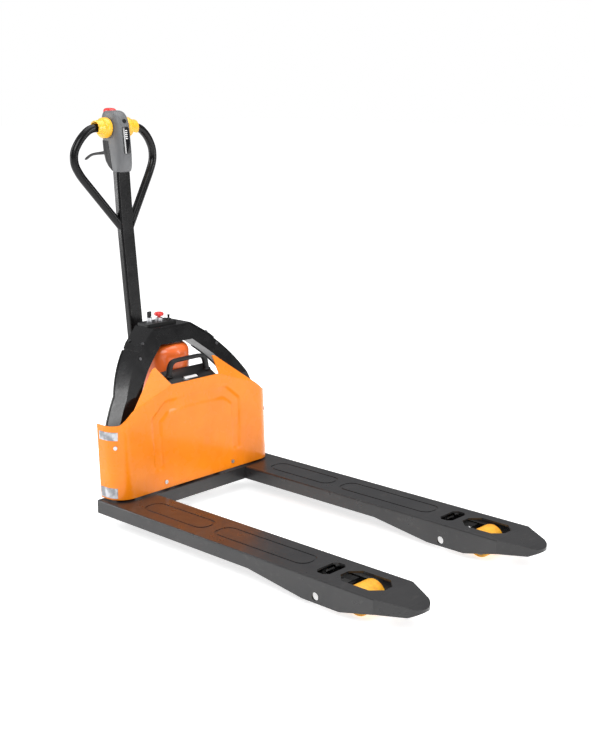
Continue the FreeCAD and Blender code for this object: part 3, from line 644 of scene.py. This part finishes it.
def battery_gauge():
    bm = bmesh.new()
    lid_block(bm, -37, -46, -30, 22, (-1.2, -1.2), 1.8)
    bevelled(new_piece("battery_gauge_strip", bm, "battery", "gauge_label", ["battery_gauge"]), 0.7, 3)
    bm = bmesh.new()
    lid_block(bm, -33.5, -49.5, -36, 28, (0, 0), 2.0)
    bevelled(new_piece("battery_gauge_frame", bm, "battery", "display_black"), 0.9, 3)


def battery_pieces():
    battery_lid_plate()
    battery_carry_handle()
    battery_handle_feet()
    battery_gauge()


# --- pump ---------------------------------------------------------------------------------------
def pump_drum():
    low, high = (local(v.z, "z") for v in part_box("pump_body"))
    radius = (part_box("pump_body")[1].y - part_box("pump_body")[0].y) / 2 / MM
    centre = (local((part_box("pump_body")[0].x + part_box("pump_body")[1].x) / 2, "x"), 0, 0)
    soft = 30.0
    bore = 20.4
    lip = 33.0
    recess = high - 1.5
    profile = [(bore, low + 8), (bore, high - 1), (bore + 1, high), (26.0, high), (26.0, recess),
               (lip, recess), (lip, high)]
    for i in range(13):
        angle = math.pi / 2 * i / 12
        profile.append((radius - soft + soft * math.sin(angle), high - soft + soft * math.cos(angle)))
    seam = 425.0
    profile += [(radius, seam + 2), (radius - 1.0, seam + 1), (radius - 1.0, seam - 1),
                (radius, seam - 2), (radius, low + 2), (radius - 2, low), (bore, low)]
    turned("pump_drum", centre, (0, 0, 1), profile, "steer_unit", "orange_cast", ["pump_body"], 96, True)


# --- tiller head --------------------------------------------------------------------------------
HEAD_SECTIONS = [
    (1022, -330, -365, 27.0), (1028, -326, -370, 28.6), (1042, -318.5, -392, 29.0), (1056, -317, -404, 29.0),
    (1084, -317, -414, 29.0), (1120, -320, -418, 29.0), (1160, -324, -422, 29.0),
    (1184, -330, -422, 28.4), (1199, -339, -418, 27.0), (1208, -350, -412, 24.0), (1213, -363, -404, 18.0),
]


def head_rings(grow, low=None, high=None):
    rings = []
    for z, ahead, behind, wide in HEAD_SECTIONS:
        if (low is not None and z < low) or (high is not None and z > high):
            continue
        middle, reach = (ahead + behind) / 2, (ahead - behind) / 2 + grow
        rings.append([at(middle + u * reach, v * (wide + grow), z) for u, v in oval(32, 3.4)])
    return rings


def head_pieces():
    bm = bmesh.new()
    skin_rings(bm, head_rings(0.0))
    shell = new_piece("head_grey_shell", bm, "tiller", "grey_plastic", ["head_shell"])
    rounded_by_subdivision(shell)
    bm = bmesh.new()
    skin_rings(bm, head_rings(0.9, 1028, 1120))
    slant = (Vector((-374, 0, 1108)) - Vector((-354, 0, 1000))).normalized()
    outward = Vector((slant.z, 0, -slant.x))
    bmesh.ops.bisect_plane(bm, geom=bm.verts[:] + bm.edges[:] + bm.faces[:], dist=1e-6,
                           plane_co=at(-358, 0, 1022), plane_no=outward, clear_outer=True)
    bmesh.ops.contextual_create(bm, geom=[e for e in bm.edges if e.is_boundary])
    cover = new_piece("head_black_cover", bm, "tiller", "black_plastic", ["head_rear_cover"])
    bevelled(smooth_by_angle(cover, 45), 1.2, 3, 45)
    display_glass()
    display_bars()
    horn_cap()
    belly()
    for side in SIDES:
        throttle_wing(side)
    lever()


def display_front(z):
    return -315.8 - (z - 1078) * 8.2 / 82


def display_glass():
    bm = bmesh.new()
    half = [(11.5, 1081), (12.5, 1086), (12.5, 1156), (9.5, 1163)]
    outline = [(-11.5, 1081)] + half + [(-y, z) for y, z in half[:0:-1]]
    block(bm, [(display_front(z) - 3, y, z) for y, z in outline],
          [(display_front(z) + 1.1, y, z) for y, z in outline])
    bevelled(new_piece("display_glass", bm, "tiller", "display_black", ["display_panel"]), 0.8, 3)


def display_bars():
    bm = bmesh.new()
    for i in range(5):
        z = 1126 + 6 * i
        half = 4.5
        ring = [(-half, z), (half, z), (half, z + 3.4), (-half, z + 3.4)]
        block(bm, [(display_front(v) + 0.9, y, v) for y, v in ring],
              [(display_front(v) + 1.25, y, v) for y, v in ring])
    new_piece("display_bars", bm, "tiller", "gauge_label")


def horn_cap():
    way = Vector((0.93, 0, 0.37))
    centre = Vector((-328.5, 0, 1181)) - way * 2.5
    profile = [(0.4, -1), (6.4, -1), (6.4, 3.4), (5.8, 4.4), (3.5, 4.9), (0.4, 5.0)]
    turned("horn_cap", centre, way, profile, "horn_button", "black_plastic", ["horn_button"], 32)


def belly():
    bm = bmesh.new()
    stations = [(1192, -377, -417, 15.5), (1203, -376, -419, 17.5), (1211, -377, -419, 17.5),
                (1217, -381, -417, 15.5), (1220.2, -389, -411, 9.0)]
    rings = []
    for z, ahead, behind, wide in stations:
        middle, reach = (ahead + behind) / 2, (ahead - behind) / 2
        rings.append([at(middle + u * reach, v * wide, z) for u, v in oval(24, 3.0)])
    skin_rings(bm, rings)
    rounded_by_subdivision(new_piece("belly_cap", bm, "belly_button", "red_plastic", ["belly_button"]), 2)


GRIP = (local((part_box("throttle_sleeve")[0].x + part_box("throttle_sleeve")[1].x) / 2, "x"),
        local((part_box("throttle_sleeve")[0].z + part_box("throttle_sleeve")[1].z) / 2, "z"))
LOOP_R = 13.0


def throttle_wing(side):
    """Yellow hub round the grip, with a half sleeve beside it for the thumb."""
    name = "throttle_hub_" + side_name(side)
    inner = LOOP_R + 0.5
    profile = [(inner, 31.5), (28, 31.5), (31, 33), (32, 36), (32, 47), (31, 51), (28.5, 54.5),
               (24, 57), (18, 58.2), (inner, 58.4)]
    turned(name, (GRIP[0], 0, GRIP[1]), (0, side, 0), profile, "throttle", "yellow_plastic",
           ["throttle_wings"], 72, True)
    bm = bmesh.new()
    rings = []
    for i in range(9):
        share = i / 8
        y = (46 + 34 * share) * side
        low, high = math.radians(-30 - 25 * share), math.radians(200 - 45 * share)
        outer, inner = 26.5 - 3.5 * share, 20.5 - 1.0 * share
        arc = [low + (high - low) * j / 15 for j in range(16)]
        ring = [(outer, a) for a in arc] + [(inner, a) for a in reversed(arc)]
        rings.append([at(GRIP[0] + r * math.cos(a), y, GRIP[1] + r * math.sin(a)) for r, a in ring])
    skin_rings(bm, rings)
    piece = new_piece("throttle_thumb_" + side_name(side), bm, "throttle", "yellow_plastic")
    bevelled(piece, 1.6, 3, 50.0)


def lever():
    bm = bmesh.new()
    line = [(-400, 1083, 6.5, 6), (-412, 1083, 7, 6), (-428, 1080.5, 5.8, 6), (-452, 1077.5, 4.8, 6),
            (-478, 1075, 4.2, 6), (-498, 1071.5, 3.8, 5.8), (-514, 1064.5, 3.6, 5.6), (-525, 1058, 3.4, 5.2),
            (-532.5, 1054, 2.6, 4.2)]
    sweep(bm, [((x, 0, z), (0, 1, 0), wide, high) for x, z, high, wide in line], SOFT_LEVER, BAR_SIDES)
    rounded_by_subdivision(new_piece("release_handle", bm, "release_lever", "black_plastic",
                                     ["release_lever"]), 2)


# --- console on the arch ------------------------------------------------------------------------
def middle_of(node):
    low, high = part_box(node)
    return Vector((local((low.x + high.x) / 2, "x"), local((low.y + high.y) / 2, "y"), 0))


def console_pieces():
    floor = local(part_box("console_base")[0].z, "z")
    stop, toggle = middle_of("stop_button"), middle_of("toggle_lever")
    profile = [(0.4, floor + 7), (5, floor + 7), (5, floor + 24), (11, floor + 25), (14.2, floor + 26.5),
               (15, floor + 29), (15, floor + 32), (13.6, floor + 35), (9, floor + 36.6), (0.4, floor + 37)]
    turned("stop_mushroom", stop, (0, 0, 1), profile, "stop_button", "red_plastic", ["stop_button"], 64)
    collar = [(5.6, floor + 9), (13.5, floor + 9), (13.5, floor + 12), (11.5, floor + 13),
              (11.5, floor + 18), (10, floor + 20), (5.6, floor + 20)]
    turned("stop_bezel", stop, (0, 0, 1), collar, "chassis", "steel", ["switch_collars"], 48, True)
    boot = [(5.8, floor + 9), (10, floor + 9), (9, floor + 12), (7, floor + 13.5), (5.8, floor + 13.5)]
    turned("toggle_boot", toggle, (0, 0, 1), boot, "chassis", "black_plastic", (), 40, True)


# --- wheels -------------------------------------------------------------------------------------
def drive_wheel():
    low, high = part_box("drive_tyre")
    radius = (high.z - low.z) / 2 / MM
    centre = (local((low.x + high.x) / 2, "x"), 0, radius)
    half = (high.y - low.y) / 2 / MM
    groove = radius - 2.4
    profile = [(84, -half + 3), (88, -half), (98, -half), (103, -half + 4), (radius, -half + 9),
               (radius, -9), (groove, -7.5), (groove, -4.5), (radius, -3), (radius, 3),
               (groove, 4.5), (groove, 7.5), (radius, 9), (radius, half - 9), (103, half - 4),
               (98, half), (88, half), (84, half - 3)]
    turned("drive_tread", centre, (0, 1, 0), profile, "drive_wheel", "drive_rubber",
           ["drive_tyre"], 128, True)


def load_wheels():
    for label in ("right", "left"):
        low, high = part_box("load_tyre_" + label)
        radius = (high.z - low.z) / 2 / MM
        half = (high.y - low.y) / 2 / MM
        centre = (local((low.x + high.x) / 2, "x"), local((low.y + high.y) / 2, "y"), radius)
        profile = [(31, -half + 1), (33, -half), (37, -half), (39.2, -half + 2.2), (radius, -half + 5),
                   (radius, half - 5), (39.2, half - 2.2), (37, half), (33, half), (31, half - 1)]
        turned("load_tread_" + label, centre, (0, 1, 0), profile, "load_wheel_" + label, "load_urethane",
               ["load_tyre_" + label], 96, True)


# --- the model ----------------------------------------------------------------------------------
make_camera()
make_stage()
MATERIALS = make_materials()
dress_cad_nodes(MATERIALS)
casing_shell()
battery_pieces()
pump_drum()
head_pieces()
console_pieces()
drive_wheel()
load_wheels()
